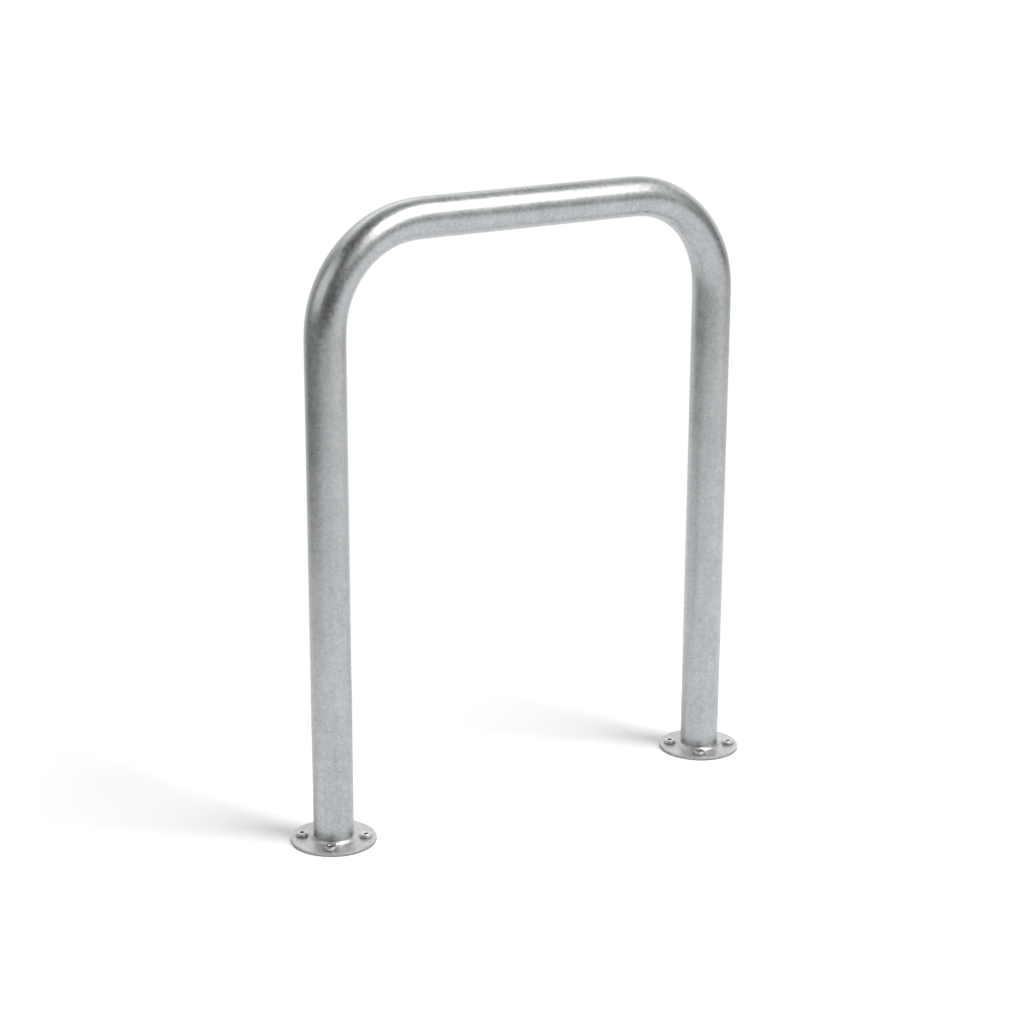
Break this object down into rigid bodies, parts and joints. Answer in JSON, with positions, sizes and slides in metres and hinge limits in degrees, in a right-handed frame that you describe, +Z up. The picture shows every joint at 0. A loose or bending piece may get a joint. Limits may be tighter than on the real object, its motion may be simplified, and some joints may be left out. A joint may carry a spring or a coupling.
{
  "type": "hitching post bike rack",
  "caption": "Inverted-U bike rack of bent round galvanised tube, welded to round foot plates that are screwed into anchors in the ground.",
  "frame": {"origin": "on the ground line, midway between the two legs", "axes": "+X along the rack from the left leg to the right, +Y away from the viewer, +Z up"},
  "size_m": [0.812, 0.127, 0.9905],
  "materials": {
    "galvanised_tube": "hot-dip galvanised, satin grey",
    "galvanised_plate": "hot-dip galvanised, satin grey",
    "galvanised_weld": "rippled weld under the galvanising",
    "steel_screw": "stainless, bright",
    "plated_anchor": "zinc plated"
  },
  "bodies": {
    "root": {"hoop_tube": "galvanised_tube", "left_flange": "galvanised_plate", "left_weld_bead": "galvanised_weld", "left_anchor_screw_1": "steel_screw", "left_anchor_shell_1": "plated_anchor", "left_expander_plug_1": "plated_anchor", "left_anchor_screw_2": "steel_screw", "left_anchor_shell_2": "plated_anchor", "left_expander_plug_2": "plated_anchor", "left_anchor_screw_3": "steel_screw", "left_anchor_shell_3": "plated_anchor", "left_expander_plug_3": "plated_anchor", "left_anchor_screw_4": "steel_screw", "left_anchor_shell_4": "plated_anchor", "left_expander_plug_4": "plated_anchor", "right_flange": "galvanised_plate", "right_weld_bead": "galvanised_weld", "right_anchor_screw_1": "steel_screw", "right_anchor_shell_1": "plated_anchor", "right_expander_plug_1": "plated_anchor", "right_anchor_screw_2": "steel_screw", "right_anchor_shell_2": "plated_anchor", "right_expander_plug_2": "plated_anchor", "right_anchor_screw_3": "steel_screw", "right_anchor_shell_3": "plated_anchor", "right_expander_plug_3": "plated_anchor", "right_anchor_screw_4": "steel_screw", "right_anchor_shell_4": "plated_anchor", "right_expander_plug_4": "plated_anchor"}
  },
  "joints": []
}
